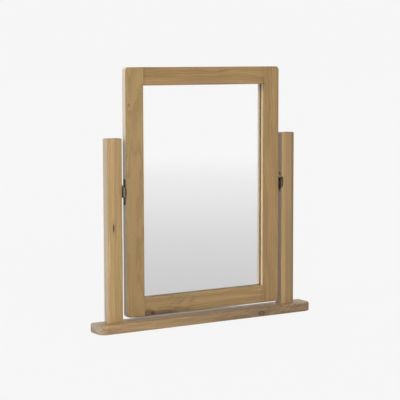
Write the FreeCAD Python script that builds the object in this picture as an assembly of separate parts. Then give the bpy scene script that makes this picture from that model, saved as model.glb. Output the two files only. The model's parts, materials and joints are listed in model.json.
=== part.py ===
import FreeCAD, Part

# Swing mirror for a dressing table, in millimetres.
# X runs along the base, Y runs from front to back, Z is up.
# The origin is the middle of the underside of the base board.

# Base board
base_overhang = 34.25
base_depth = 54.0
base_thickness = 20.0
base_front_corner_radius = 20.0
base_back_corner_radius = 8.0
base_edge_radius = 3.0

# Posts
post_width = 35.5
post_depth = 24.0
post_height = 398.0
post_ledge = 27.1
post_edge_radius = 3.0
post_top_radius = 2.0

# Dowels and screws that hold the posts to the base
post_dowel_diameter = 8.0
post_dowel_spacing = 22.0
post_dowel_in_base = 12.0
post_dowel_in_post = 20.0
post_screw_diameter = 5.0
post_screw_head_diameter = 10.0
post_screw_length = 56.0
post_screw_sink = 0.6

# Mirror frame
frame_width = 398.0
frame_height = 543.0
frame_thickness = 17.0
frame_lift = 6.6
frame_step = 0.9
stile_width = 43.5
top_rail_width = 39.5
bottom_rail_width = 40.5
frame_corner_radius = 8.0
frame_edge_radius = 2.2
sight_edge_radius = 1.5

# Dowels in the frame corners
frame_dowel_diameter = 6.0
frame_dowel_reach = 18.0
frame_dowel_margin = 8.0
frame_dowel_spacing = 10.0
frame_dowel_set = 7.0

# Stepped rebate, glass and back panel
lip_depth = 8.5
lip_width = 9.0
panel_seat = 9.0
glass_thickness = 5.0
glass_clearance = 1.0
panel_thickness = 2.5
panel_clearance = 0.8

# Screws of the back panel
panel_screw_diameter = 3.0
panel_screw_head_diameter = 6.0
panel_screw_head_height = 1.0
panel_screw_length = 10.0
panel_screw_inset = 55.0
panel_screws_up = 4
panel_screws_across = 3

# Swing fittings
pivot_rise = 2.9
plate_thickness = 1.8
plate_edge_bevel = 0.4
plate_screw_margin = 5.5
post_plate_width = 9.0
post_plate_above_pivot = 27.5
post_plate_below_pivot = 21.5
keeper_width = 24.6
keeper_top = 16.7
keeper_corner_radius = 2.0
frame_plate_width = 11.0
frame_plate_length = 58.0
plate_screw_diameter = 3.4
plate_screw_head_diameter = 6.8
plate_screw_length = 16.0
stud_diameter = 6.0
stud_block_size = 22.0
stud_block_length = 4.5
stud_block_corner_radius = 2.5
stud_head_diameter = 10.0
stud_head_height = 2.2
spring_diameter = 17.0
spring_thickness = 0.7
spring_dish = 0.7
friction_washer_diameter = 18.0
friction_washer_thickness = 2.8
head_pocket_diameter = 13.0
head_pocket_depth = 5.0

# Named clearances
running_clearance = 0.05
washer_clearance = 0.2

# Positions worked out from the sizes above
post_front = post_ledge - base_depth / 2
post_middle_y = post_front + post_depth / 2
frame_front = post_front - frame_step
frame_back = frame_front + frame_thickness
frame_bottom = base_thickness + frame_lift
frame_top = frame_bottom + frame_height
frame_side = frame_width / 2
opening_side = frame_side - stile_width
opening_bottom = frame_bottom + bottom_rail_width
opening_top = frame_top - top_rail_width
glass_front = frame_front + lip_depth
glass_back = glass_front + glass_thickness
panel_back = glass_back + panel_thickness
pivot_y = frame_front + frame_thickness / 2
pivot_z = frame_bottom + frame_height / 2 + pivot_rise
spring_height = spring_thickness + spring_dish

# Places along X in the left swing fitting, from the frame out to the post
washer_face = -frame_side - friction_washer_thickness
spring_near = washer_face - running_clearance
spring_far = spring_near - spring_height
post_inner = spring_far - stud_block_length
post_outer = post_inner - post_width
post_middle_x = (post_inner + post_outer) / 2
base_side = base_overhang - post_outer

TOLERANCE = 1e-4


def vec(x, y, z):
    return FreeCAD.Vector(x, y, z)


def block(x0, x1, y0, y1, z0, z1):
    return Part.makeBox(x1 - x0, y1 - y0, z1 - z0, vec(x0, y0, z0))


def rod_x(x0, x1, y, z, diameter):
    return Part.makeCylinder(diameter / 2, x1 - x0, vec(x0, y, z), vec(1, 0, 0))


def rod_y(x, y0, y1, z, diameter):
    return Part.makeCylinder(diameter / 2, y1 - y0, vec(x, y0, z), vec(0, 1, 0))


def rod_z(x, y, z0, z1, diameter):
    return Part.makeCylinder(diameter / 2, z1 - z0, vec(x, y, z0), vec(0, 0, 1))


def mirrored(shape):
    return shape.mirror(vec(0, 0, 0), vec(1, 0, 0))


def flat_in(edge, axis, place):
    box = edge.BoundBox
    low = {"x": box.XMin, "y": box.YMin, "z": box.ZMin}[axis]
    high = {"x": box.XMax, "y": box.YMax, "z": box.ZMax}[axis]
    return abs(low - place) < TOLERANCE and abs(high - place) < TOLERANCE


def upright_edges(shape):
    return [e for e in shape.Edges if e.BoundBox.ZLength > TOLERANCE]


def save(name, shape):
    shape.exportStep("parts/" + name + ".step")


def countersunk_screw(start, way, diameter, head_diameter, length):
    """A wood screw whose flat head lies at start and whose shank runs along way."""
    head_height = (head_diameter - diameter) / 2
    tip_height = diameter
    head = Part.makeCone(head_diameter / 2, diameter / 2, head_height, start, way)
    shank_end = length - tip_height
    shank = Part.makeCylinder(diameter / 2, shank_end - head_height, start + way * head_height, way)
    tip = Part.makeCone(diameter / 2, diameter / 8, tip_height, start + way * shank_end, way)
    return head.fuse([shank, tip]).removeSplitter()


def round_over(axis, length, corner, side_a, side_b, radius):
    """The waste removed when a square arris at corner is rounded along axis."""
    reach = [side_a[i] * radius + side_b[i] * radius for i in range(3)]
    far = [reach[i] + axis[i] * length for i in range(3)]
    lows = [corner[i] + min(0.0, far[i]) for i in range(3)]
    highs = [corner[i] + max(0.0, far[i]) for i in range(3)]
    waste = block(lows[0], highs[0], lows[1], highs[1], lows[2], highs[2])
    centre = vec(*[corner[i] + reach[i] for i in range(3)])
    return waste.cut(Part.makeCylinder(radius, length, centre, vec(*axis)))


def post_dowel_places():
    half = post_dowel_spacing / 2
    left = [post_middle_x - half, post_middle_x + half]
    return left + [-x for x in left]


def post_dowel(x):
    low = base_thickness - post_dowel_in_base
    high = base_thickness + post_dowel_in_post
    return rod_z(x, post_middle_y, low, high, post_dowel_diameter)


def post_screw(x):
    start = vec(x, post_middle_y, post_screw_sink)
    up = vec(0, 0, 1)
    return countersunk_screw(start, up, post_screw_diameter, post_screw_head_diameter, post_screw_length)


def post_screw_bore(x):
    mouth = rod_z(x, post_middle_y, 0, post_screw_sink, post_screw_head_diameter)
    return post_screw(x).fuse(mouth)


def base_board():
    half_depth = base_depth / 2
    board = block(-base_side, base_side, -half_depth, half_depth, 0, base_thickness)
    front_corners = [e for e in upright_edges(board) if flat_in(e, "y", -half_depth)]
    board = board.makeFillet(base_front_corner_radius, front_corners)
    back_corners = [e for e in upright_edges(board) if flat_in(e, "y", half_depth)]
    board = board.makeFillet(base_back_corner_radius, back_corners)
    rims = [e for e in board.Edges if flat_in(e, "z", 0) or flat_in(e, "z", base_thickness)]
    board = board.makeFillet(base_edge_radius, rims)
    board = board.cut([post_dowel(x) for x in post_dowel_places()])
    return board.cut([post_screw_bore(x) for x in (post_middle_x, -post_middle_x)])


def post_plate_ends():
    return [pivot_z - post_plate_below_pivot, pivot_z + post_plate_above_pivot]


def frame_plate_ends():
    return [pivot_z - frame_plate_length / 2, pivot_z + frame_plate_length / 2]


def plate_screw_heights(ends):
    low, high = ends
    return [low + plate_screw_margin, high - plate_screw_margin]


def plate_screws(x, way, ends):
    """The two screws of one plate, with their heads at x and their shanks along way."""
    starts = [vec(x, pivot_y, z) for z in plate_screw_heights(ends)]
    sizes = (plate_screw_diameter, plate_screw_head_diameter, plate_screw_length)
    return [countersunk_screw(start, way, *sizes) for start in starts]


def post_plate_screws():
    return plate_screws(post_inner, vec(-1, 0, 0), post_plate_ends())


def frame_plate_screws():
    return plate_screws(-frame_side, vec(1, 0, 0), frame_plate_ends())


def plate_bar(x0, width, ends):
    """A flat upright bar with round ends, one plate thick from x0."""
    x1 = x0 + plate_thickness
    centres = [ends[0] + width / 2, ends[1] - width / 2]
    bar = block(x0, x1, pivot_y - width / 2, pivot_y + width / 2, centres[0], centres[1])
    return bar.fuse([rod_x(x0, x1, pivot_y, z, width) for z in centres]).removeSplitter()


def post_plate_sheet():
    """The post plate before drilling: a bar with a wide, round-bottomed middle that stands out in front."""
    x0 = post_inner - plate_thickness
    half = keeper_width / 2
    top = pivot_z + keeper_top
    upper = block(x0, post_inner, pivot_y - half, pivot_y + half, pivot_z, top)
    corners = [e for e in upper.Edges if flat_in(e, "z", top) and e.BoundBox.XLength > TOLERANCE]
    upper = upper.makeFillet(keeper_corner_radius, corners)
    lower = rod_x(x0, post_inner, pivot_y, pivot_z, keeper_width)
    bar = plate_bar(x0, post_plate_width, post_plate_ends())
    return bar.fuse([upper, lower]).removeSplitter()


def frame_plate_bar():
    return plate_bar(-frame_side, frame_plate_width, frame_plate_ends())


def bevelled(plate, face):
    """The plate with a small bevel round the face that shows."""
    return plate.makeChamfer(plate_edge_bevel, [e for e in plate.Edges if flat_in(e, "x", face)])


def left_post():
    top = base_thickness + post_height
    post = block(post_outer, post_inner, post_front, post_front + post_depth, base_thickness, top)
    post = post.makeFillet(post_edge_radius, upright_edges(post))
    post = post.makeFillet(post_top_radius, [e for e in post.Edges if flat_in(e, "z", top)])
    half = post_dowel_spacing / 2
    waste = [post_dowel(post_middle_x - half), post_dowel(post_middle_x + half), post_screw(post_middle_x)]
    waste += post_plate_screws()
    waste.append(post_plate_sheet())
    return post.cut(waste)


def frame_dowel_heights():
    lower = frame_bottom + frame_dowel_margin
    upper = frame_top - frame_dowel_margin
    return [lower, lower + frame_dowel_spacing, upper - frame_dowel_spacing, upper]


def frame_dowel(z):
    y = frame_front + frame_dowel_set
    x0 = -opening_side - frame_dowel_reach
    return rod_x(x0, -opening_side + frame_dowel_reach, y, z, frame_dowel_diameter)


def rebate_waste():
    """The stepped recess cut round the opening from the back, as one block."""
    side = opening_side + lip_width
    low = opening_bottom - lip_width
    high = opening_top + lip_width
    glass_step = block(-side, side, glass_front, frame_back, low, high)
    wide = side + panel_seat
    panel_step = block(-wide, wide, glass_back, frame_back, low - panel_seat, high + panel_seat)
    return glass_step.fuse(panel_step)


def panel_screw_places():
    seat_middle = lip_width + panel_seat / 2
    x_side = opening_side + seat_middle
    z_low = opening_bottom - seat_middle
    z_high = opening_top + seat_middle
    rise = (z_high - z_low - 2 * panel_screw_inset) / (panel_screws_up - 1)
    run = (2 * x_side - 2 * panel_screw_inset) / (panel_screws_across - 1)
    heights = [z_low + panel_screw_inset + i * rise for i in range(panel_screws_up)]
    widths = [-x_side + panel_screw_inset + i * run for i in range(panel_screws_across)]
    sides = [(x, z) for x in (-x_side, x_side) for z in heights]
    return sides + [(x, z) for x in widths for z in (z_low, z_high)]


def panel_screw(place):
    x, z = place
    head = rod_y(x, panel_back, panel_back + panel_screw_head_height, z, panel_screw_head_diameter)
    shank = rod_y(x, panel_back - panel_screw_length, panel_back, z, panel_screw_diameter)
    return head.fuse(shank).removeSplitter()


def left_stile():
    x0 = -frame_side
    x1 = -opening_side
    stile = block(x0, x1, frame_front, frame_back, frame_bottom, frame_top)
    ends = [e for e in stile.Edges if flat_in(e, "x", x0) and e.BoundBox.YLength > TOLERANCE]
    stile = stile.makeFillet(frame_corner_radius, ends)
    faces = [e for e in stile.Edges if flat_in(e, "y", frame_front) or flat_in(e, "y", frame_back)]
    stile = stile.makeFillet(frame_edge_radius, [e for e in faces if not flat_in(e, "x", x1)])
    sight = round_over((0, 0, 1), opening_top - opening_bottom, (x1, frame_front, opening_bottom),
                       (-1, 0, 0), (0, 1, 0), sight_edge_radius)
    waste = [rebate_waste(), sight]
    waste += [frame_dowel(z) for z in frame_dowel_heights()]
    waste += frame_plate_screws()
    waste += [panel_screw(place) for place in panel_screw_places() if place[0] < x1]
    waste.append(frame_plate_bar())
    waste.append(rod_x(x0, x0 + head_pocket_depth, pivot_y, pivot_z, head_pocket_diameter))
    return stile.cut(waste)


def rail(outer_edge, sight_edge):
    """A rail between two heights, rounded along its outer edge and its sight edge."""
    low = min(outer_edge, sight_edge)
    high = max(outer_edge, sight_edge)
    sight_way = 1 if sight_edge == low else -1
    bar = block(-opening_side, opening_side, frame_front, frame_back, low, high)
    long_edges = [e for e in bar.Edges if flat_in(e, "z", outer_edge) and e.BoundBox.XLength > TOLERANCE]
    bar = bar.makeFillet(frame_edge_radius, long_edges)
    sight = round_over((1, 0, 0), 2 * opening_side, (-opening_side, frame_front, sight_edge),
                       (0, 0, sight_way), (0, 1, 0), sight_edge_radius)
    dowels = [frame_dowel(z) for z in frame_dowel_heights()]
    waste = [rebate_waste(), sight] + dowels + [mirrored(d) for d in dowels]
    waste += [panel_screw(place) for place in panel_screw_places()]
    return bar.cut(waste)


def top_rail():
    return rail(frame_top, opening_top)


def bottom_rail():
    return rail(frame_bottom, opening_bottom)


def mirror_glass():
    side = opening_side + lip_width - glass_clearance
    low = opening_bottom - lip_width
    high = opening_top + lip_width - 2 * glass_clearance
    return block(-side, side, glass_front, glass_back, low, high)


def back_panel():
    reach = lip_width + panel_seat
    side = opening_side + reach - panel_clearance
    low = opening_bottom - reach
    high = opening_top + reach - 2 * panel_clearance
    panel = block(-side, side, glass_back, panel_back, low, high)
    return panel.cut([panel_screw(place) for place in panel_screw_places()])


def left_post_plate():
    plate = bevelled(post_plate_sheet(), post_inner)
    stud_hole = rod_x(post_inner - plate_thickness, post_inner, pivot_y, pivot_z, stud_diameter)
    return plate.cut([stud_hole] + post_plate_screws())


def left_frame_plate():
    plate = bevelled(frame_plate_bar(), -frame_side)
    bore = stud_diameter + 2 * running_clearance
    stud_hole = rod_x(-frame_side, -frame_side + plate_thickness, pivot_y, pivot_z, bore)
    return plate.cut([stud_hole] + frame_plate_screws())


def left_pivot_stud():
    """The stud with its square block, riveted through the post plate and headed behind the frame plate."""
    shaft_end = post_inner - plate_thickness
    head_near = -frame_side + plate_thickness + running_clearance
    shaft = rod_x(shaft_end, head_near, pivot_y, pivot_z, stud_diameter)
    half = stud_block_size / 2
    square = block(post_inner, post_inner + stud_block_length, pivot_y - half, pivot_y + half,
                   pivot_z - half, pivot_z + half)
    corners = [e for e in square.Edges if e.BoundBox.XLength > TOLERANCE]
    square = square.makeFillet(stud_block_corner_radius, corners)
    head = rod_x(head_near, head_near + stud_head_height, pivot_y, pivot_z, stud_head_diameter)
    return shaft.fuse([square, head]).removeSplitter()


def left_spring_washer():
    """A dished steel washer, turned from its cross-section."""
    inner = stud_diameter / 2 + washer_clearance
    outer = spring_diameter / 2
    profile = [(spring_far, inner), (spring_far + spring_thickness, inner),
               (spring_near, outer), (spring_near - spring_thickness, outer)]
    points = [vec(x, pivot_y, pivot_z + r) for x, r in profile]
    section = Part.Face(Part.makePolygon(points + points[:1]))
    return section.revolve(vec(0, pivot_y, pivot_z), vec(1, 0, 0), 360)


def left_friction_washer():
    disc = rod_x(washer_face, -frame_side, pivot_y, pivot_z, friction_washer_diameter)
    bore = stud_diameter + 2 * washer_clearance
    return disc.cut(rod_x(washer_face, -frame_side, pivot_y, pivot_z, bore))


def both_sides(shapes):
    return Part.makeCompound(shapes + [mirrored(s) for s in shapes])


save("base_board", base_board())
save("post_dowels", Part.makeCompound([post_dowel(x) for x in post_dowel_places()]))
save("post_screws", both_sides([post_screw(post_middle_x)]))
save("frame_dowels", both_sides([frame_dowel(z) for z in frame_dowel_heights()]))
save("top_rail", top_rail())
save("bottom_rail", bottom_rail())
save("mirror_glass", mirror_glass())
save("back_panel", back_panel())
save("back_panel_screws", Part.makeCompound([panel_screw(place) for place in panel_screw_places()]))
save("post_plate_screws", both_sides(post_plate_screws()))
save("frame_plate_screws", both_sides(frame_plate_screws()))

paired = {
    "post": left_post(),
    "stile": left_stile(),
    "post_plate": left_post_plate(),
    "frame_plate": left_frame_plate(),
    "pivot_stud": left_pivot_stud(),
    "spring_washer": left_spring_washer(),
    "friction_washer": left_friction_washer(),
}
for name, shape in paired.items():
    save("left_" + name, shape)
    save("right_" + name, mirrored(shape))
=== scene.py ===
import json
import math
from dataclasses import dataclass
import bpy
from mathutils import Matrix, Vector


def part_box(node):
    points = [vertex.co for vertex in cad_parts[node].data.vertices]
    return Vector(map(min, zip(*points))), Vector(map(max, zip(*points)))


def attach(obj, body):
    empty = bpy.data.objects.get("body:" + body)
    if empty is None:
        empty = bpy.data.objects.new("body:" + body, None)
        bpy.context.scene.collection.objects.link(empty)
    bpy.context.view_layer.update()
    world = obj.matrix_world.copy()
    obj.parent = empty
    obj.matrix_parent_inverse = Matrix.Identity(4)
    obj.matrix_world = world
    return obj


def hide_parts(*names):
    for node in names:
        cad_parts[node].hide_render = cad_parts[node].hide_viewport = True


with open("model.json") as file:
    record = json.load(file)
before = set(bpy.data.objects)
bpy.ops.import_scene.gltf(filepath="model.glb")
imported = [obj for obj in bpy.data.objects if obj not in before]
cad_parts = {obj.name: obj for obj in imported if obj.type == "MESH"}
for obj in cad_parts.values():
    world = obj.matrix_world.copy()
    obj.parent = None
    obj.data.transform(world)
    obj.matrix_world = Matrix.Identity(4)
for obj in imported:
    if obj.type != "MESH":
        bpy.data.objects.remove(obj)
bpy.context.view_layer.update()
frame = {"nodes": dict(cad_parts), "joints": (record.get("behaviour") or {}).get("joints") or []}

from types import SimpleNamespace

import bmesh
import bpy
from mathutils import Matrix, Vector

NODES = frame["nodes"]
MM = 0.001

# Camera, as fitted to the straight edges of the photographed object
IMAGE_WIDTH_PX = 400
FOCAL_PX = 1344.9
SENSOR_MM = 36.0
CAMERA_AZIMUTH = math.radians(-31.419)
CAMERA_PITCH = math.radians(6.017)
CAMERA_ROLL = math.radians(-0.142)
CAMERA_DISTANCE = 2.9975
CAMERA_TARGET = Vector((-0.011584, 0.0022, 0.2741))
CAMERA_CLIP_END = 200.0

# Light levels: an even white room, a tall narrow window on the left, a soft light in front and one above
AMBIENT_LEVEL = 0.37
KEY_STRENGTH = 0.39
KEY_ANGLE = math.radians(14)
KEY_FROM = [Vector((-1.0, -0.10, rise)).normalized() for rise in (0.16, 0.50, 0.95)]
FILL_STRENGTH = 1.68
FILL_ANGLE = math.radians(60)
FILL_FROM = Vector((-0.36, -1.0, 0.14)).normalized()
TOP_STRENGTH = 0.5
TOP_ANGLE = math.radians(80)
TOP_FROM = Vector((0.1, 0.5, 1.0)).normalized()
FLOOR_ALBEDO = 0.8
FLOOR_SIZE = 60.0
FLOOR_DROP = 0.4 * MM
LAMPS_ON_FLOOR = (KEY_STRENGTH * sum(way.z for way in KEY_FROM) + FILL_STRENGTH * FILL_FROM.z
                  + TOP_STRENGTH * TOP_FROM.z)
FLOOR_LIGHT = AMBIENT_LEVEL + LAMPS_ON_FLOOR / math.pi

# Studio white as the camera sees it, and the floor's painted shade in the mirror at each distance in metres
BACKDROP_WHITE = 0.921
MIRROR_SHARE = 0.786
FLOOR_SHADE_SHARE = 0.06
MIRRORED_FLOOR_SHADE = ((0.0, 0.557), (1.0, 0.648), (2.5, 0.778), (5.0, 0.915))

# A soft shade painted on the floor behind the base, seen through the gap under the frame: its level, and in
# millimetres where it comes out from under the base and where it starts and ends to thin out on each side
CLOSE_SHADE = 0.18
CLOSE_UNDER, CLOSE_BASE_BACK = -5.0, 22.0
CLOSE_LEFT, CLOSE_LEFT_END = -95.0, -130.0
CLOSE_RIGHT, CLOSE_RIGHT_END = 40.0, 205.0
CLOSE_FAR, CLOSE_FAR_END = 122.0, 190.0


def srgb(red, green, blue):
    """A display colour out of 255 as a linear colour with full alpha."""
    def linear(value):
        share = value / 255
        return share / 12.92 if share <= 0.04045 else ((share + 0.055) / 1.055) ** 2.4
    return (linear(red), linear(green), linear(blue), 1.0)


def grey(level):
    return (level, level, level, 1.0)


class Graph:
    """A node tree with short calls for the nodes that the materials here share."""

    def __init__(self, tree):
        self.tree = tree
        self.tree.nodes.clear()

    def feed(self, socket, value):
        if isinstance(value, bpy.types.NodeSocket):
            self.tree.links.new(value, socket)
        else:
            socket.default_value = value

    def add(self, kind, inputs=None, **settings):
        made = self.tree.nodes.new(kind)
        for key, value in settings.items():
            setattr(made, key, value)
        for key, value in (inputs or {}).items():
            self.feed(made.inputs[key], value)
        return made

    def math(self, operation, a, b=0.0, c=0.0):
        made = self.add("ShaderNodeMath", {0: a, 1: b, 2: c}, operation=operation)
        return made.outputs[0]

    def total(self, *values):
        result = values[0]
        for value in values[1:]:
            result = self.math("ADD", result, value)
        return result

    def product(self, *values):
        result = values[0]
        for value in values[1:]:
            result = self.math("MULTIPLY", result, value)
        return result

    def squares(self, *values):
        """The sum of the squares of values."""
        return self.total(*[self.math("MULTIPLY", value, value) for value in values])

    def toned(self, shade, mask, tone):
        """A shade that is tone times as light where mask is 1."""
        times = self.math("MULTIPLY_ADD", mask, self.math("SUBTRACT", tone, 1.0), 1.0)
        return self.math("MULTIPLY", shade, times)

    def vector(self, x, y, z):
        return self.add("ShaderNodeCombineXYZ", {0: x, 1: y, 2: z}).outputs[0]

    def spread(self, value, low, high, to_low=0.0, to_high=1.0):
        """A smooth step from to_low at low to to_high at high."""
        inputs = {"Value": value, "From Min": low, "From Max": high, "To Min": to_low, "To Max": to_high}
        return self.add("ShaderNodeMapRange", inputs, interpolation_type="SMOOTHSTEP").outputs[0]

    def mix(self, share, a, b, blend="MIX"):
        made = self.add("ShaderNodeMix", data_type="RGBA", blend_type=blend, clamp_factor=True)
        self.feed(made.inputs["Factor"], share)
        self.feed(made.inputs[6], a)
        self.feed(made.inputs[7], b)
        return made.outputs[2]

    def noise(self, place, detail=2.0, roughness=0.5, scale=1.0):
        inputs = {"Vector": place, "Scale": scale, "Detail": detail, "Roughness": roughness}
        return self.add("ShaderNodeTexNoise", inputs).outputs["Fac"]

    def millimetres(self):
        """The rest position in millimetres, as three sockets."""
        here = self.add("ShaderNodeTexCoord").outputs["Object"]
        scaled = self.add("ShaderNodeVectorMath", {0: here, 3: 1 / MM}, operation="SCALE").outputs[0]
        return self.add("ShaderNodeSeparateXYZ", {0: scaled}).outputs

    def looking(self, axis):
        """How much a face looks along an axis, from the piece's own normals."""
        normal = self.add("ShaderNodeTexCoord").outputs["Normal"]
        return self.add("ShaderNodeSeparateXYZ", {0: normal}).outputs[axis]

    def facing(self, axis):
        """How squarely a face looks either way along an axis."""
        return self.math("ABSOLUTE", self.looking(axis))

    def arris(self, axis):
        """1 on the rounded edges of the faces that look along an axis, and 0 on flat faces."""
        facing = self.facing(axis)
        return self.product(self.spread(facing, 0.10, 0.40), self.spread(facing, 0.80, 0.985, 1.0, 0.0))

    def bump(self, height, distance, strength=1.0):
        inputs = {"Height": height, "Distance": distance, "Strength": strength}
        return self.add("ShaderNodeBump", inputs).outputs[0]

    def surface(self, **inputs):
        shader = self.add("ShaderNodeBsdfPrincipled", inputs)
        self.output(shader.outputs[0])
        return shader

    def output(self, socket):
        self.add("ShaderNodeOutputMaterial", {"Surface": socket})


def new_material(name):
    material = bpy.data.materials.new(name)
    material.use_nodes = True
    return material, Graph(material.node_tree)


def dress(piece, material):
    piece.data.materials.clear()
    piece.data.materials.append(material)


# Oak colours as seen on a display
OAK_LIGHT = (171, 143, 95)
OAK_DARK = (143, 114, 67)
OAK_ROSE = (168, 134, 92)
OAK_OLIVE = (157, 136, 80)
OAK_FLECK = (192, 166, 124)
OAK_PALE = (184, 171, 152)
OAK_FADED = (150, 128, 102)
OAK_STAIN_AND_SHADE = (88, 60, 40)
OAK_BARE = (188, 168, 118)
PORE_BROWN = (104, 78, 48)
KNOT_BROWN = (72, 46, 18)
KNOT_RIM = (116, 84, 54)
WARM_TINT = (1.0, 0.91, 0.84, 1.0)

# Sizes in the wood in millimetres: a year's ring, the slow bands across the rings, the slanting marks, and
# the radius from which a knot has a lighter eye
RING_WIDTH = 3.4
BAND_WIDTH, BAND_LONG = 8.5, 420
FLAME_WIDTH, FLAME_LONG = 6.5, 22
EYED_KNOT = 4.0
# How far the slanting marks run along the grain for each millimetre across it
FLAME_SLANT = 1.6


@dataclass
class Oak:
    """How one oak piece was sawn and how it looks. Places run along and across its grain in millimetres."""
    grain: str                  # axis of the grain
    seed: int
    pith: tuple                 # where the tree's middle lay: across, deep
    tilt: float = 0.0           # how far the grain runs across for each millimetre along
    tone: float = 1.0
    fade: float = 1.0           # tone at the far end as a share of that at the near end
    side_light_tone: float = None     # tone of the faces that look left or right, with painted light and shade
    pale_sheen: float = 0.45          # share of pale wood with a painted sheen on those faces
    pale_way: int = 0           # which way along X they look, or 0 for both
    warmth: float = 0.0         # share of the warm tint
    faded: float = 0.0          # share of faded wood
    bands: float = 0.5          # strength of the slow bands in the figure
    streaky: float = 0.8        # strength of the streaks in the figure
    streak_long: float = 130    # their length in millimetres
    contrast: float = 0.08      # how much the figure changes the tone
    cloudy: float = 0.3         # how uneven the tone is
    edge: float = 0.34          # how dark the rounded edges are, as painted shade and wear
    end_tone: float = None      # tone of the end grain
    upper_face_light: tuple = None     # painted light on the upper face at its left and right ends
    turn_shades: tuple = None    # painted shade where the surface turns left and right
    knots: tuple = ()           # along, across, radius, squash
    dark_patches: tuple = ()         # along, across, half length, half width, share of the dark colour
    flames: tuple = ()          # along, half length, share of stain
    streaks: tuple = ()         # across, half width, tone of a band of painted shade
    seam: tuple = None          # across, tone beyond it
    joint_ends: bool = False    # whether both ends butt against other pieces


OAK_PIECES = {
    "left_stile": Oak("z", 11, (-160, 95), tilt=0.006, tone=1.03, fade=1.12, side_light_tone=1.24, pale_sheen=1.0,
                      pale_way=-1, warmth=0.2, bands=0.28, streaky=0.4, contrast=0.03, cloudy=0.14,
                      edge=0.5, knots=((489, -191, 1.1, 0.5),)),
    # The right stile's reveal gets painted light, and the top of it a patch of painted shadow.
    "right_stile": Oak("z", 23, (95, 120), tilt=0.03, tone=0.98, side_light_tone=2.05, pale_sheen=0.5, pale_way=-1,
                       warmth=0.75, bands=0.55, contrast=0.10, cloudy=0.5, edge=0.28,
                       dark_patches=((530, 155.5, 20, 5, 0.8),)),
    "top_rail": Oak("x", 37, (470, 70), tilt=0.008, tone=1.015, warmth=0.95, bands=0.65, contrast=0.09,
                    cloudy=0.45, joint_ends=True),
    # The bottom rail's patches make it darker along its lower edge towards the left.
    "bottom_rail": Oak("x", 41, (-40, 75), tilt=0.02, tone=1.075, warmth=0.25, faded=0.1, bands=0.6,
                       contrast=0.14, cloudy=0.4, joint_ends=True, knots=((-136, 32, 3.5, 0.5),),
                       flames=((-62, 42, 0.32),),
                       dark_patches=((-147, 30, 22, 15, 1.0), (-114, 28, 46, 10, 0.9), (-70, 31, 44, 6, 0.45))),
    # The base's upper face and its turns left and right carry painted light and shade.
    "base_board": Oak("x", 53, (-60, 20), tilt=0.03, tone=1.12, fade=0.80, side_light_tone=0.84, pale_sheen=0.7,
                      pale_way=-1, warmth=0.5, faded=0.42, bands=0.8, streaky=1.4, streak_long=60,
                      contrast=0.36, cloudy=0.5, edge=0.12, upper_face_light=(0.85, 1.10), turn_shades=(0.92, 0.58),
                      knots=((135, 8, 6.2, 0.5),), flames=((205, 95, 0.58), (60, 60, 0.25)),
                      dark_patches=((95, 3, 60, 8, 0.32), (200, 6, 62, 9, 0.3), (-190, 15, 50, 5, 0.3))),
    "left_post": Oak("z", 67, (-330, 60), tilt=0.006, tone=1.54, side_light_tone=0.75, pale_sheen=0.6, faded=0.1,
                     contrast=0.14, end_tone=0.6, knots=((225.5, -230.4, 2.1, 0.2),), seam=(-227.8, 0.845)),
    # The right post's darker band along its right edge is painted shade.
    "right_post": Oak("z", 79, (310, 80), tilt=0.008, tone=1.34, side_light_tone=0.70, pale_sheen=0.8, warmth=0.3,
                      faded=0.2, contrast=0.14, end_tone=0.6, streaks=((239.5, 6.5, 0.68),),
                      seam=(218.7, 0.76)),
}

# The frame's pieces, whose rebate leaves a lip of bare, paler wood in front of the glass, lit by painted
# light
REBATED = ("left_stile", "right_stile", "top_rail", "bottom_rail")
GLASS_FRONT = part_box("mirror_glass")[0].y / MM
LIP_PAINTED_LIGHT = 1.75
# Where the rails end, and in millimetres how far the glue line and the darker ends reach from there
JOINT_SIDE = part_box("top_rail")[1].x / MM
JOINT_LINE, JOINT_REACH = 0.6, 9.0
SEAM_HALF = 0.4


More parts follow.
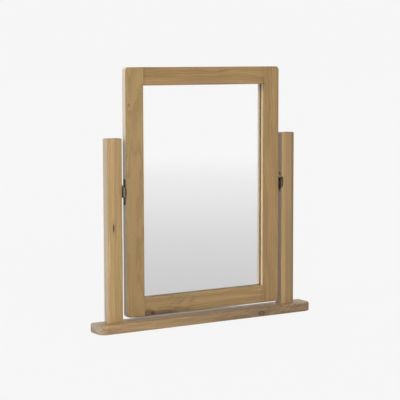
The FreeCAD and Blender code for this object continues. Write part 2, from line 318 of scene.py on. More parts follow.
def oak_fields(g, oak):
    """The places, rings, knots and noise that the colour, shade and relief of one oak piece share."""
    x, y, z = g.millimetres()
    along, across, deep = {"x": (x, z, y), "z": (z, x, y)}[oak.grain]

    def stretched(fine_across, fine_along, shift=0.0):
        """A place whose unit cell is fine_across wide and fine_along long, in millimetres."""
        return g.vector(g.math("MULTIPLY_ADD", across, 1 / fine_across, oak.seed + shift),
                        g.math("MULTIPLY", deep, 1 / fine_across),
                        g.math("MULTIPLY", along, 1 / fine_along))

    # The ring radius wanders along the board and is pushed aside by knots.
    meander = g.math("MULTIPLY_ADD", g.noise(stretched(60, 260), 2.0), 26.0, -13.0)
    ripple = g.math("MULTIPLY_ADD", g.noise(stretched(9, 70, 3.0), 2.0), 3.0, -1.5)
    from_pith = g.total(across, -oak.pith[0], g.math("MULTIPLY", along, oak.tilt))
    radius = g.math("SQRT", g.squares(from_pith, g.total(deep, -oak.pith[1])))
    radius = g.total(radius, meander, ripple)
    core = 0.0
    rim = 0.0
    for knot_along, knot_across, knot_radius, squash in oak.knots:
        run = g.math("MULTIPLY", g.total(along, -knot_along), squash)
        rise = g.total(across, -knot_across, g.math("MULTIPLY", ripple, 0.5))
        reach = g.math("SQRT", g.squares(run, rise))
        radius = g.total(radius, g.spread(reach, 0.0, knot_radius * 4.5, knot_radius * 2.2, 0.0))
        dark = g.spread(reach, knot_radius * 0.5, knot_radius * 1.05, 1.0, 0.0)
        if knot_radius > EYED_KNOT:
            dark = g.product(dark, g.spread(reach, knot_radius * 0.2, knot_radius * 0.6, 0.35, 1.0))
        core = g.math("MAXIMUM", core, dark)
        rim = g.math("MAXIMUM", rim, g.spread(reach, knot_radius * 0.9, knot_radius * 2.4, 1.0, 0.0))

    # Each year's ring starts abruptly with open pores and fades into dense late wood.
    year = g.math("FRACT", g.math("MULTIPLY", radius, 1 / RING_WIDTH))
    early = g.math("MULTIPLY", g.spread(year, 0.0, 0.10), g.spread(year, 0.12, 0.62, 1.0, 0.0))
    slow_rings = g.vector(g.math("MULTIPLY_ADD", radius, 1 / BAND_WIDTH, oak.seed), 0.0,
                          g.math("MULTIPLY", along, 1 / BAND_LONG))
    pore_field = g.noise(stretched(0.42, 7.5, 13.0), 1.0, 0.5)
    return SimpleNamespace(
        y=y, along=along, across=across, deep=deep, ripple=ripple, core=core, rim=rim, early=early,
        band=g.spread(g.noise(slow_rings, 2.0, 0.6), 0.34, 0.66),
        fibre=g.noise(stretched(0.8, 26, 7.0), 3.0, 0.6),
        streak=g.noise(stretched(3.4, oak.streak_long, 23.0), 2.0, 0.6),
        pores=g.product(g.spread(pore_field, 0.57, 0.68), g.math("MULTIPLY_ADD", early, 0.75, 0.25)),
        flecks=g.spread(g.noise(stretched(2.2, 11, 17.0), 1.0), 0.64, 0.74),
        hue=g.noise(stretched(26, 150, 19.0), 2.0),
        cloud=g.noise(stretched(40, 120, 29.0), 2.0))


def oak_stains_and_shade(g, oak, wood):
    """The share of dark colour in each dark patch and in each group of slanting marks."""
    dark_shares = []
    # The right stile's patch is a painted shadow of the top rail.
    for patch_along, patch_across, half_long, half_wide, share in oak.dark_patches:
        run = g.math("DIVIDE", g.total(wood.along, -patch_along), half_long)
        wavy = g.math("MULTIPLY", wood.ripple, 2.0)
        rise = g.math("DIVIDE", g.total(wood.across, -patch_across, wavy), half_wide)
        figured = g.total(g.math("MULTIPLY", wood.fibre, 0.5), g.math("MULTIPLY", wood.streak, 0.5))
        dark_shares.append(g.product(g.spread(g.squares(run, rise), 0.1, 1.1, share, 0.0),
                                g.spread(figured, 0.36, 0.54, 0.45, 1.0)))
    for flame_along, half_long, share in oak.flames:
        leaning = g.math("MULTIPLY_ADD", wood.across, -FLAME_SLANT, wood.along)
        place = g.vector(g.math("MULTIPLY", leaning, 1 / FLAME_WIDTH),
                         g.math("MULTIPLY", wood.across, 1 / FLAME_LONG),
                         g.math("MULTIPLY", wood.deep, 1 / FLAME_LONG))
        aside = g.math("ABSOLUTE", g.total(wood.along, -flame_along))
        dark_shares.append(g.product(g.spread(aside, half_long * 0.6, half_long, share, 0.0),
                                g.spread(g.noise(place, 2.0, 0.6), 0.46, 0.58)))
    return dark_shares


def oak_colour(g, oak, wood):
    """The colour, from the whole board down to single pores, and the figure that it follows."""
    figure = g.total(g.math("MULTIPLY", wood.early, 0.40), g.math("MULTIPLY", wood.band, oak.bands),
                     g.math("MULTIPLY_ADD", wood.fibre, 0.35, -0.17),
                     g.math("MULTIPLY", g.total(wood.streak, -0.5), oak.streaky))
    colour = g.mix(figure, srgb(*OAK_LIGHT), srgb(*OAK_DARK))
    colour = g.mix(g.spread(wood.hue, 0.40, 0.62, 0.0, 0.38), colour, srgb(*OAK_ROSE))
    colour = g.mix(g.spread(wood.hue, 0.36, 0.52, 0.22, 0.0), colour, srgb(*OAK_OLIVE))
    colour = g.mix(g.math("MULTIPLY", wood.flecks, 0.22), colour, srgb(*OAK_FLECK))
    colour = g.mix(g.math("MULTIPLY", wood.pores, 0.55), colour, srgb(*PORE_BROWN))
    for dark_share in oak_stains_and_shade(g, oak, wood):
        colour = g.mix(dark_share, colour, srgb(*OAK_STAIN_AND_SHADE))
    if oak.knots:
        colour = g.mix(g.math("MULTIPLY", wood.rim, 0.35), colour, srgb(*KNOT_RIM))
        colour = g.mix(g.math("MULTIPLY", wood.core, 0.92), colour, srgb(*KNOT_BROWN))
    colour = g.mix(oak.faded, colour, srgb(*OAK_FADED))
    return g.mix(oak.warmth, colour, WARM_TINT, "MULTIPLY"), figure


def grain_ends(name, oak):
    """Where a piece starts and ends along its grain, in millimetres."""
    axis = {"x": 0, "z": 2}[oak.grain]
    return [corner[axis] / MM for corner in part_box(name)]


def oak_shade(g, name, oak, wood, figure):
    """How light the board is in clouds, figure, knots and bands of painted shade, end to end and at joints.
    """
    shade = g.math("MULTIPLY_ADD", wood.cloud, oak.cloudy, oak.tone - oak.cloudy / 2)
    figured = g.math("MULTIPLY_ADD", figure, -oak.contrast, 1.0 + oak.contrast / 2)
    shade = g.product(shade, figured, g.spread(wood.core, 0.0, 1.0, 1.0, 0.6))
    # Bands of painted shade along an edge
    for band_across, half_wide, band_shade in oak.streaks:
        aside = g.math("ABSOLUTE", g.total(wood.across, -band_across, wood.ripple))
        shade = g.product(shade, g.spread(aside, half_wide * 0.5, half_wide, band_shade, 1.0))
    if oak.fade != 1.0:
        shade = g.product(shade, g.spread(wood.along, *grain_ends(name, oak), 1.0, oak.fade))
    if oak.seam:
        seam_at, far_tone = oak.seam
        beyond = g.spread(wood.across, seam_at - SEAM_HALF, seam_at + SEAM_HALF, 1.0, far_tone)
        shade = g.product(shade, beyond)
    if oak.joint_ends:
        to_joint = g.math("SUBTRACT", JOINT_SIDE, g.math("ABSOLUTE", wood.along))
        darker = g.math("MULTIPLY_ADD", wood.fibre, 0.5, -0.42)
        shade = g.total(shade, g.product(g.spread(to_joint, 0.0, JOINT_REACH, 1.0, 0.0), darker))
        shade = g.product(shade, g.spread(to_joint, 0.0, JOINT_LINE, 0.62, 1.0))
    return shade


def side_mask(g, name, oak):
    """1 on the faces that look left or right, or on those that look pale_way alone."""
    if not oak.pale_way:
        return g.spread(g.facing(0), 0.86, 0.99)
    turned = g.math("MULTIPLY", g.looking(0), oak.pale_way)
    if name in REBATED:
        return g.product(g.spread(g.facing(1), 0.14, 0.52, 1.0, 0.0), g.spread(turned, 0.1, 0.5))
    return g.spread(turned, 0.35, 1.0)


def oak_faces(g, name, oak, wood, colour, shade):
    """Paints light and shade on the sides, top and turns, and tones the sides and the end grain."""
    # Painted light and shade on the sides, with paler wood and a painted sheen
    if oak.side_light_tone:
        side = side_mask(g, name, oak)
        shade = g.toned(shade, side, oak.side_light_tone)
        colour = g.mix(g.math("MULTIPLY", side, oak.pale_sheen), colour, srgb(*OAK_PALE))
    # Painted light on the upper face
    if oak.upper_face_light:
        upper_light = g.spread(wood.along, *grain_ends(name, oak), *oak.upper_face_light)
        shade = g.toned(shade, g.spread(g.looking(2), 0.5, 0.9), upper_light)
    # Painted shade where the surface turns left and right
    if oak.turn_shades:
        left_shade, right_shade = oak.turn_shades
        shade = g.product(shade, g.spread(g.looking(0), -0.5, -0.1, left_shade, 1.0),
                          g.spread(g.looking(0), 0.1, 0.6, 1.0, right_shade))
    if oak.end_tone:
        shade = g.product(shade, g.spread(g.facing(2), 0.25, 0.80, 1.0, oak.end_tone))
    return colour, shade


def bare_lip(g, wood):
    """1 on the back of the lip that the glass lies against, which gets painted light."""
    return g.product(g.spread(g.facing(1), 0.5, 0.9),
                     g.spread(wood.y, GLASS_FRONT - 1.0, GLASS_FRONT - 0.5),
                     g.spread(wood.y, GLASS_FRONT + 0.5, GLASS_FRONT + 1.0, 1.0, 0.0))


def oak_material(name, oak):
    material, g = new_material("oak_" + name)
    wood = oak_fields(g, oak)
    colour, figure = oak_colour(g, oak, wood)
    shade = oak_shade(g, name, oak, wood, figure)
    colour, shade = oak_faces(g, name, oak, wood, colour, shade)
    # The rounded edges are darker: painted shade, with wear
    edge_wear_and_shade = g.arris(2 if name == "base_board" else 1)
    edge_shade = g.math("MULTIPLY_ADD", wood.fibre, 0.3, -oak.edge)
    shade = g.product(shade, g.math("MULTIPLY_ADD", edge_wear_and_shade, edge_shade, 1.0))
    # Painted light on the back of the lip
    if name in REBATED:
        bare = bare_lip(g, wood)
        colour = g.mix(bare, colour, srgb(*OAK_BARE))
        shade = g.toned(shade, bare, LIP_PAINTED_LIGHT)
    tinted = g.add("ShaderNodeVectorMath", {0: colour, 3: shade}, operation="SCALE").outputs[0]

    # Satin lacquer that sinks into the pores and is rubbed at the edges
    roughness = g.total(g.math("MULTIPLY_ADD", wood.cloud, 0.14, 0.43), g.math("MULTIPLY", wood.pores, 0.2),
                        g.math("MULTIPLY", edge_wear_and_shade, 0.06))
    relief = g.total(g.math("MULTIPLY", wood.pores, -0.8), g.math("MULTIPLY", wood.early, -0.12),
                     g.math("MULTIPLY", wood.fibre, 0.18), g.math("MULTIPLY", wood.core, -0.3))
    shader = g.surface(**{"Base Color": tinted, "Roughness": roughness})
    g.feed(shader.inputs["Normal"], g.bump(relief, 0.00008))
    shader.inputs["IOR"].default_value = 1.48
    shader.inputs["Specular IOR Level"].default_value = 0.6
    return material


# Hidden beech dowels
BEECH_LIGHT = (205, 172, 132)
BEECH_DARK = (176, 138, 98)
BEECH_RED = (190, 150, 112)


def beech_material():
    material, g = new_material("beech")
    x, y, z = g.millimetres()
    grain = g.vector(g.math("MULTIPLY", x, 0.5), g.math("MULTIPLY", y, 2.2), g.math("MULTIPLY", z, 0.7))
    flecks = g.noise(grain, 3.0)
    tone = g.noise(g.vector(x, y, z), 2.0, 0.5, 0.05)
    colour = g.mix(g.spread(flecks, 0.4, 0.7), srgb(*BEECH_LIGHT), srgb(*BEECH_DARK))
    colour = g.mix(g.math("MULTIPLY", tone, 0.5), colour, srgb(*BEECH_RED))
    shader = g.surface(**{"Base Color": colour, "Roughness": g.math("MULTIPLY_ADD", flecks, 0.2, 0.55)})
    g.feed(shader.inputs["Normal"], g.bump(flecks, 0.0001))
    return material


# Back panel of brown hardboard
BOARD_DARK = (112, 82, 56)
BOARD_LIGHT = (150, 114, 78)
BOARD_STRAND = (88, 62, 42)
BOARD_MOTTLE = (134, 98, 62)


def hardboard_material():
    material, g = new_material("hardboard")
    x, y, z = g.millimetres()
    place = g.vector(x, y, z)
    fibres = g.noise(place, 4.0, 0.65, 1.6)
    strands = g.noise(g.vector(g.math("MULTIPLY", x, 0.22), y, g.math("MULTIPLY", z, 0.9)), 3.0, 0.6, 1.4)
    mottle = g.noise(place, 3.0, 0.55, 0.03)
    colour = g.mix(g.spread(fibres, 0.36, 0.66), srgb(*BOARD_DARK), srgb(*BOARD_LIGHT))
    colour = g.mix(g.math("MULTIPLY", g.spread(strands, 0.58, 0.72), 0.5), colour, srgb(*BOARD_STRAND))
    colour = g.mix(g.spread(mottle, 0.42, 0.68, 0.0, 0.4), colour, srgb(*BOARD_MOTTLE))
    roughness = g.math("MULTIPLY_ADD", fibres, 0.25, 0.5)
    relief = g.total(fibres, g.math("MULTIPLY", strands, -0.5))
    shader = g.surface(**{"Base Color": colour, "Roughness": roughness})
    g.feed(shader.inputs["Normal"], g.bump(relief, 0.00012))
    return material


# Metals and the fibre washers
BRONZE_DARK = (74, 64, 47)
BRONZE_LIGHT = (99, 86, 63)
BRONZE_SCRATCH = (120, 100, 72)
BRONZE_EDGE = (128, 108, 78)
# A painted reflection on the post plates' ears
BRONZE_REFLECTION = (158, 141, 114)
STEEL_EDGE = (214, 210, 202)
# Steels: their light and dark colours, and how close the turning marks lie
STEELS = {
    "zinc_steel": ((196, 193, 184), (164, 162, 154), 3.0),
    "spring_steel": ((70, 68, 64), (48, 46, 44), 4.0),
    "dull_zinc": ((130, 126, 117), (108, 105, 98), 3.0),
    # the dull zinc made darker and browner by painted shade
    "shaded_zinc": ((106, 95, 79), (84, 73, 58), 3.0),
}
FIBRE_LIGHT = (60, 50, 37)
FIBRE_DARK = (44, 36, 25)
FIBRE_EDGE = (96, 86, 74)
# The post plates stay dark for this far above and below the pivot, where the keeper stands out.
# Beyond that the plates' ears carry a painted reflection.
PIVOT_Z = frame["joints"][0]["pos_m"][2] / MM
KEEPER_HALF = 12.5
KEEPER_BLEND = 2.0


def bronze_material(name, reflecting_from=None):
    """Dark bronzed steel, worn along its edges and, on a plate, lit by a painted reflection beyond a given
    distance above and below the pivot, in millimetres."""
    material, g = new_material(name)
    x, y, z = g.millimetres()
    place = g.vector(x, y, z)
    mottle = g.noise(place, 3.0, 0.6, 0.35)
    scratches = g.noise(g.vector(x, g.math("MULTIPLY", y, 6.0), g.math("MULTIPLY", z, 0.6)), 2.0, 0.5, 0.9)
    colour = g.mix(g.spread(mottle, 0.35, 0.68), srgb(*BRONZE_DARK), srgb(*BRONZE_LIGHT))
    colour = g.mix(g.math("MULTIPLY", g.spread(scratches, 0.62, 0.74), 0.5), colour, srgb(*BRONZE_SCRATCH))
    colour = g.mix(g.math("MULTIPLY", g.arris(0), 0.55), colour, srgb(*BRONZE_EDGE))
    # A painted reflection on the plate's ears
    if reflecting_from:
        from_pivot = g.math("ABSOLUTE", g.total(z, -PIVOT_Z))
        reflecting = g.product(g.spread(from_pivot, reflecting_from, reflecting_from + KEEPER_BLEND),
                           g.spread(mottle, 0.2, 0.6, 0.6, 1.0))
        colour = g.mix(reflecting, colour, srgb(*BRONZE_REFLECTION))
    roughness = g.total(g.math("MULTIPLY_ADD", mottle, 0.25, 0.30), g.math("MULTIPLY", scratches, 0.08))
    shader = g.surface(**{"Base Color": colour, "Roughness": roughness})
    shader.inputs["Metallic"].default_value = 0.75
    g.feed(shader.inputs["Normal"], g.bump(g.total(mottle, scratches), 0.00003))
    return material


def steel_material(name):
    """Bright or oiled steel with fine turning marks round the X axis."""
    light, dark, turning = STEELS[name]
    material, g = new_material(name)
    x, y, z = g.millimetres()
    place = g.vector(x, y, z)
    cloud = g.noise(place, 3.0, 0.6, 0.5)
    marks = g.noise(g.vector(g.math("MULTIPLY", x, turning), y, z), 2.0, 0.6, 0.8)
    colour = g.mix(g.spread(cloud, 0.35, 0.68), srgb(*light), srgb(*dark))
    colour = g.mix(g.math("MULTIPLY", g.arris(0), 0.3), colour, srgb(*STEEL_EDGE))
    roughness = g.total(g.math("MULTIPLY_ADD", cloud, 0.2, 0.22), g.math("MULTIPLY", marks, 0.12))
    shader = g.surface(**{"Base Color": colour, "Roughness": roughness})
    shader.inputs["Metallic"].default_value = 1.0
    g.feed(shader.inputs["Normal"], g.bump(marks, 0.00002))
    return material


def fibre_material():
    """Dark vulcanised fibre, as friction washers are punched from."""
    material, g = new_material("dark_fibre")
    x, y, z = g.millimetres()
    place = g.vector(x, y, z)
    grain = g.noise(place, 3.0, 0.6, 2.5)
    tone = g.noise(place, 2.0, 0.5, 0.2)
    colour = g.mix(tone, srgb(*FIBRE_LIGHT), srgb(*FIBRE_DARK))
    colour = g.mix(g.math("MULTIPLY", g.arris(0), 0.3), colour, srgb(*FIBRE_EDGE))
    shader = g.surface(**{"Base Color": colour, "Roughness": g.math("MULTIPLY_ADD", grain, 0.2, 0.5)})
    g.feed(shader.inputs["Normal"], g.bump(grain, 0.00004))
    return material


# Mirror: clear glass in front of a silver film, in linear colours
GLASS_TINT = (0.984, 0.987, 0.985, 1.0)
SILVER_DARK = (0.798, 0.798, 0.796, 1.0)
SILVER_LIGHT = (0.808, 0.808, 0.806, 1.0)
# The glass plate's play in front and the width of its ground seams
GLASS_EASE = 0.05 * MM
GLASS_SEAM = 0.4 * MM
# How far the film lies inside the back of the glass, its thickness, its margin and its clipped corners
SILVER_SETBACK = 0.05 * MM
SILVER_THICKNESS = 0.08 * MM
SILVER_MARGIN = 1.0 * MM
SILVER_CLIP = 3.0 * MM


def glass_material():
    material, g = new_material("mirror_glass")
    x, y, z = g.millimetres()
    haze = g.noise(g.vector(x, y, z), 2.0, 0.5, 0.02)
    shader = g.surface(**{"Roughness": g.spread(haze, 0.45, 0.8, 0.0, 0.012)})
    shader.inputs["Base Color"].default_value = GLASS_TINT
    shader.inputs["Transmission Weight"].default_value = 1.0
    shader.inputs["IOR"].default_value = 1.52
    return material


def silver_material():
    material, g = new_material("silvering")
    x, y, z = g.millimetres()
    cloud = g.noise(g.vector(x, y, z), 2.0, 0.5, 0.015)
    colour = g.mix(cloud, SILVER_DARK, SILVER_LIGHT)
    shader = g.surface(**{"Base Color": colour, "Roughness": g.spread(cloud, 0.5, 0.8, 0.0, 0.01)})
    shader.inputs["Metallic"].default_value = 1.0
    return material


def mesh_piece(name, bm, body):
    """A new piece from bm that rides on body."""
    bmesh.ops.recalc_face_normals(bm, faces=bm.faces)
    mesh = bpy.data.meshes.new(name)
    bm.to_mesh(mesh)
    bm.free()
    piece = bpy.data.objects.new(name, mesh)
    bpy.context.scene.collection.objects.link(piece)
    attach(piece, body)
    return piece


def slab(outline, front, back):
    """A flat plate from front to back along Y, whose outline is x and z pairs."""
    bm = bmesh.new()
    near = bm.faces.new([bm.verts.new((x, front, z)) for x, z in outline])
    grown = bmesh.ops.extrude_face_region(bm, geom=[near])
    moved = [v for v in grown["geom"] if isinstance(v, bmesh.types.BMVert)]
    bmesh.ops.translate(bm, vec=(0, back - front, 0), verts=moved)
    return bm


def mirror_plate():
    """The glass plate with seamed edges, a hair clear of the wooden lip in front of it."""
    low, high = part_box("mirror_glass")
    outline = [(low.x, low.z), (high.x, low.z), (high.x, high.z), (low.x, high.z)]
    bm = slab(outline, low.y + GLASS_EASE, high.y)
    bmesh.ops.bevel(bm, geom=list(bm.edges), offset=GLASS_SEAM, segments=2, affect="EDGES")
    piece = mesh_piece("mirror_plate", bm, "mirror")
    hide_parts("mirror_glass")
    dress(piece, glass_material())


def silver_film():
    """The silver film just inside the back face of the glass, with clipped corners."""
    low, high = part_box("mirror_glass")
    back = high.y - SILVER_SETBACK
    x0, x1 = low.x + SILVER_MARGIN, high.x - SILVER_MARGIN
    z0, z1 = low.z + SILVER_MARGIN, high.z - SILVER_MARGIN
    clip = SILVER_CLIP
    outline = [(x0 + clip, z0), (x1 - clip, z0), (x1, z0 + clip), (x1, z1 - clip),
               (x1 - clip, z1), (x0 + clip, z1), (x0, z1 - clip), (x0, z0 + clip)]
    bm = slab(outline, back - SILVER_THICKNESS, back)
    piece = mesh_piece("silver_film", bm, "mirror")
    dress(piece, silver_material())


# Screws with a cross recess in the head: its reach, half width and depth as shares of the head's radius, its
# sloping walls as a share of its half width, how much of its depth is lost at its ends, and how far past its
# reach the head's inner rings go
SCREW_SIDES = 48
RECESS_STEPS = 7
CROSS_ARM, CROSS_HALF, CROSS_DEPTH = 0.62, 0.16, 0.5
CROSS_WALL = 0.6
CROSS_TAPER = 0.75
CROSS_CLEAR = 1.06
# The back panel's screws: the height of their rounded heads and the dome's share of it
PANEL_SCREW_HEAD = 1.0 * MM
HEAD_DOME = 0.22
# Corners nearer than this count as one.
WELD_DISTANCE = 0.001 * MM


def islands(node):
    """The corners of each separate solid in a node that groups several."""
    bm = bmesh.new()
    bm.from_mesh(NODES[node].data)
    bmesh.ops.remove_doubles(bm, verts=bm.verts, dist=WELD_DISTANCE)
    left = set(bm.verts)
    boxes = []
    while left:
        queue = [left.pop()]
        found = []
        while queue:
            vert = queue.pop()
            found.append(vert.co.copy())
            for edge in vert.link_edges:
                other = edge.other_vert(vert)
                if other in left:
                    left.remove(other)
                    queue.append(other)
        lows = Vector([min(p[i] for p in found) for i in range(3)])
        highs = Vector([max(p[i] for p in found) for i in range(3)])
        boxes.append((lows, highs))
    bm.free()
    return sorted(boxes, key=lambda box: tuple(round(c, 5) for c in box[0]))


def cross_depth(a, b, head_radius):
    """How deep a tapered cross recess is at the point a, b of a screw head."""
    arm = CROSS_ARM * head_radius
    half_width = CROSS_HALF * head_radius
    inside = min(max(abs(a) - half_width, abs(b) - arm), max(abs(b) - half_width, abs(a) - arm))
    share = min(1.0, max(0.0, -inside / (CROSS_WALL * half_width)))
    fade = 1.0 - CROSS_TAPER * math.hypot(a, b) / arm
    return CROSS_DEPTH * head_radius * share * max(0.0, fade)


def add_screw(bm, start, way, head_radius, profile, dome):
    """One screw whose head is centred on start and whose shank runs along way.
    The profile gives radius and depth pairs from the head's rim to the tip."""
    turn = way.to_track_quat("Z", "Y").to_matrix()

    def ring(radius, height, recessed):
        made = []
        for i in range(SCREW_SIDES):
            angle = 2 * math.pi * i / SCREW_SIDES
            a, b = radius * math.cos(angle), radius * math.sin(angle)
            sunk = cross_depth(a, b, head_radius) if recessed else 0.0
            made.append(bm.verts.new(start + turn @ Vector((a, b, height + sunk))))
        return made

    def dome_height(radius):
        return dome * (radius / head_radius) ** 2

    centre = bm.verts.new(start + turn @ Vector((0, 0, cross_depth(0, 0, head_radius))))
    reach = CROSS_ARM * head_radius * CROSS_CLEAR
    steps = [reach * (i + 1) / RECESS_STEPS for i in range(RECESS_STEPS)]
    rings = [ring(radius, dome_height(radius), True) for radius in steps]
    rings += [ring(radius, height, False) for radius, height in profile]
    tip = bm.verts.new(start + turn @ Vector((0, 0, profile[-1][1])))
    for i in range(SCREW_SIDES):
        j = (i + 1) % SCREW_SIDES
        bm.faces.new((centre, rings[0][i], rings[0][j]))
        bm.faces.new((tip, rings[-1][j], rings[-1][i]))
        for inner, outer in zip(rings, rings[1:]):
            bm.faces.new((inner[i], outer[i], outer[j], inner[j]))


def pan_profile(head_radius, head_height, shank_radius, length):
    """A rounded head that sits on its panel, then the shank and its point."""
    edge = 0.25 * head_height
    return [(0.80 * head_radius, 0.22 * head_height), (head_radius - edge, 0.45 * head_height),
            (head_radius, 0.75 * head_height), (head_radius, head_height), (shank_radius, head_height),
            (shank_radius, length - 2 * shank_radius), (0.25 * shank_radius, length)]


def sunk_profile(head_radius, shank_radius, length):
    """A flat countersunk head, then the shank and its point."""
    rim = 0.04 * head_radius
    cone = head_radius - shank_radius
    return [(0.85 * head_radius, 0.0), (head_radius - rim, 0.0), (head_radius, rim), (shank_radius, cone),
            (shank_radius, length - 2 * shank_radius), (0.25 * shank_radius, length)]


def screw_group(node, body, material, axis, head_towards, pan_height=0.0):
    """Replaces a node of like screws. head_towards gives, from a screw's middle, which way along axis its
    head looks."""
    bm = bmesh.new()
    for low, high in islands(node):
        middle = (low + high) / 2
        sign = head_towards(middle)
        start = middle.copy()
        start[axis] = high[axis] if sign > 0 else low[axis]
        way = Vector((0, 0, 0))
        way[axis] = -sign
        across = (axis + 1) % 3
        head_radius = (high[across] - low[across]) / 2
        shank_radius = head_radius / 2
        length = high[axis] - low[axis]
        if pan_height:
            profile = pan_profile(head_radius, pan_height, shank_radius, length)
            dome = HEAD_DOME * pan_height
        else:
            profile = sunk_profile(head_radius, shank_radius, length)
            dome = 0.0
        add_screw(bm, start, way, head_radius, profile, dome)
    piece = mesh_piece(node + "_cross", bm, body)
    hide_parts(node)
    dress(piece, material)


def inward(middle):
    """Which way along X the object's middle lies."""
    return 1 if middle.x < 0 else -1


def outward(middle):
    return -inward(middle)


def screws(bronze, zinc):
    screw_group("post_plate_screws", "stand", bronze, 0, inward)
    screw_group("frame_plate_screws", "mirror", bronze, 0, outward)
    screw_group("post_screws", "stand", zinc, 2, lambda middle: -1)
    screw_group("back_panel_screws", "mirror", zinc, 1, lambda middle: 1, PANEL_SCREW_HEAD)


def dress_fittings():
    bronze = bronze_material("bronzed_steel")
    plate_bronze = bronze_material("bronzed_plate", KEEPER_HALF)
    zinc = steel_material("zinc_steel")
    spring = steel_material("spring_steel")
    # The right stud's darker, browner zinc is painted shade
    dull = {"left_": steel_material("dull_zinc"), "right_": steel_material("shaded_zinc")}
    fibre = fibre_material()
    for side in ("left_", "right_"):
        dress(NODES[side + "post_plate"], plate_bronze)
        dress(NODES[side + "frame_plate"], bronze)
        dress(NODES[side + "pivot_stud"], dull[side])
        dress(NODES[side + "spring_washer"], spring)
        dress(NODES[side + "friction_washer"], fibre)
    screws(bronze, zinc)


def dress_pieces():
    """Gives every piece its material, and puts finer forms in place of the glass and the screws."""
    for name, oak in OAK_PIECES.items():
        dress(NODES[name], oak_material(name, oak))
    beech = beech_material()
    dress(NODES["post_dowels"], beech)
    dress(NODES["frame_dowels"], beech)
    dress(NODES["back_panel"], hardboard_material())
    mirror_plate()
    silver_film()
    dress_fittings()


# Studio
def seen_rays(g):
    """1 for rays that the camera sends, and 1 for those that a mirror or glass sends on."""
    path = g.add("ShaderNodeLightPath").outputs
    mirrored = g.math("MAXIMUM", path["Is Glossy Ray"], path["Is Transmission Ray"])
    return path["Is Camera Ray"], mirrored


def close_shade(g):
    """1 where the painted shade is full, thinning out to 0 on each side of it."""
    x, y, _ = g.millimetres()
    sides = ((x, CLOSE_LEFT, CLOSE_LEFT_END), (x, CLOSE_RIGHT, CLOSE_RIGHT_END),
             (y, CLOSE_FAR, CLOSE_FAR_END))
    past = [g.math("MAXIMUM", g.math("DIVIDE", g.total(place, -start), end - start), 0.0)
            for place, start, end in sides]
    return g.product(g.spread(g.squares(*past), 0.0, 1.0, 1.0, 0.0),
                     g.spread(y, CLOSE_UNDER, CLOSE_BASE_BACK))


def mirrored_floor(g):
    """What the mirror shows of the floor: a glow with painted shade, darker near the object."""
    here = g.add("ShaderNodeTexCoord").outputs["Object"]
    away = g.add("ShaderNodeVectorMath", {0: here}, operation="LENGTH").outputs["Value"]
    farthest = MIRRORED_FLOOR_SHADE[-1][0]
    fade = g.add("ShaderNodeValToRGB", {"Fac": g.math("MULTIPLY", away, 1 / farthest)})
    stops = fade.color_ramp.elements
    while len(stops) < len(MIRRORED_FLOOR_SHADE):
        stops.new(0.5)
    for stop, (distance, level) in zip(stops, MIRRORED_FLOOR_SHADE):
        stop.position = distance / farthest
        stop.color = grey(level / MIRROR_SHARE)
    return fade.outputs[0]


def floor_material():
    """White to the camera, apart from a soft shadow and the painted shade, and plain to diffuse light."""
    material, g = new_material("studio_floor")
    camera_ray, mirrored_ray = seen_rays(g)
    plain = g.add("ShaderNodeBsdfDiffuse", {"Color": grey(FLOOR_ALBEDO)}).outputs[0]
    shaded = g.add("ShaderNodeBsdfDiffuse", {"Color": grey(FLOOR_SHADE_SHARE)}).outputs[0]
    plain_white = BACKDROP_WHITE - FLOOR_SHADE_SHARE * FLOOR_LIGHT
    level = g.math("MULTIPLY_ADD", close_shade(g), plain_white * (CLOSE_SHADE - 1.0), plain_white)
    white = g.add("ShaderNodeEmission", {"Strength": level}).outputs[0]
    seen = g.add("ShaderNodeAddShader", {0: white, 1: shaded}).outputs[0]
    glow = g.add("ShaderNodeEmission", {"Color": mirrored_floor(g)}).outputs[0]
    first = g.add("ShaderNodeMixShader", {0: camera_ray, 1: plain, 2: seen}).outputs[0]
    g.output(g.add("ShaderNodeMixShader", {0: mirrored_ray, 1: first, 2: glow}).outputs[0])
    return material


def studio_floor():
    """The floor that the object stands on, a hair below it."""
    bm = bmesh.new()
    half = FLOOR_SIZE / 2
    bm.faces.new([bm.verts.new((x * half, y * half, 0)) for x, y in ((-1, -1), (1, -1), (1, 1), (-1, 1))])
    mesh = bpy.data.meshes.new("studio_floor")
    bm.to_mesh(mesh)
    bm.free()
    floor = bpy.data.objects.new("studio_floor", mesh)
    bpy.context.scene.collection.objects.link(floor)
    floor.location.z = -FLOOR_DROP
    dress(floor, floor_material())


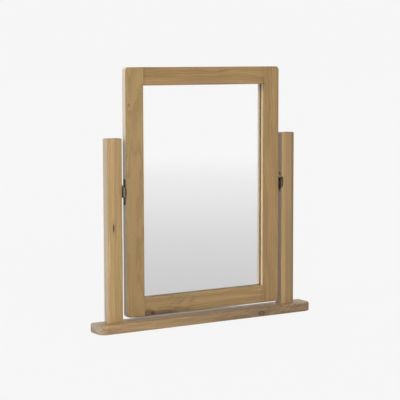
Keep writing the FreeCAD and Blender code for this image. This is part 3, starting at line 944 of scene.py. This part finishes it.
def studio_world():
    world = bpy.data.worlds.new("studio")
    world.use_nodes = True
    bpy.context.scene.world = world
    g = Graph(world.node_tree)
    camera_ray, mirrored_ray = seen_rays(g)
    level = g.math("MULTIPLY_ADD", camera_ray, BACKDROP_WHITE - AMBIENT_LEVEL, AMBIENT_LEVEL)
    level = g.math("MULTIPLY_ADD", mirrored_ray, BACKDROP_WHITE / MIRROR_SHARE - AMBIENT_LEVEL, level)
    background = g.add("ShaderNodeBackground", {"Strength": level})
    background.inputs["Color"].default_value = grey(1.0)
    g.add("ShaderNodeOutputWorld", {"Surface": background.outputs[0]})


def lamp(name, comes_from, strength, angle):
    light = bpy.data.lights.new(name, "SUN")
    light.energy = strength
    light.angle = angle
    made = bpy.data.objects.new(name, light)
    made.rotation_mode = "QUATERNION"
    made.rotation_quaternion = comes_from.to_track_quat("Z", "Y")
    bpy.context.scene.collection.objects.link(made)


def camera():
    data = bpy.data.cameras.new("camera")
    data.sensor_width = SENSOR_MM
    data.lens = FOCAL_PX * SENSOR_MM / IMAGE_WIDTH_PX
    data.clip_end = CAMERA_CLIP_END
    level = math.cos(CAMERA_PITCH)
    ahead = Vector((-math.sin(CAMERA_AZIMUTH) * level, math.cos(CAMERA_AZIMUTH) * level,
                    -math.sin(CAMERA_PITCH)))
    right = Vector((math.cos(CAMERA_AZIMUTH), math.sin(CAMERA_AZIMUTH), 0.0))
    up = right.cross(ahead)
    rolled_right = right * math.cos(CAMERA_ROLL) + up * math.sin(CAMERA_ROLL)
    rolled_up = up * math.cos(CAMERA_ROLL) - right * math.sin(CAMERA_ROLL)
    turn = Matrix((rolled_right, rolled_up, -ahead)).transposed()
    made = bpy.data.objects.new("camera", data)
    made.matrix_world = Matrix.Translation(CAMERA_TARGET - ahead * CAMERA_DISTANCE) @ turn.to_4x4()
    bpy.context.scene.collection.objects.link(made)
    bpy.context.scene.camera = made


dress_pieces()
studio_floor()
studio_world()
for number, way in enumerate(KEY_FROM):
    lamp("key_" + str(number), way, KEY_STRENGTH, KEY_ANGLE)
lamp("fill", FILL_FROM, FILL_STRENGTH, FILL_ANGLE)
lamp("top", TOP_FROM, TOP_STRENGTH, TOP_ANGLE)
camera()
bpy.context.scene.view_settings.view_transform = "Standard"
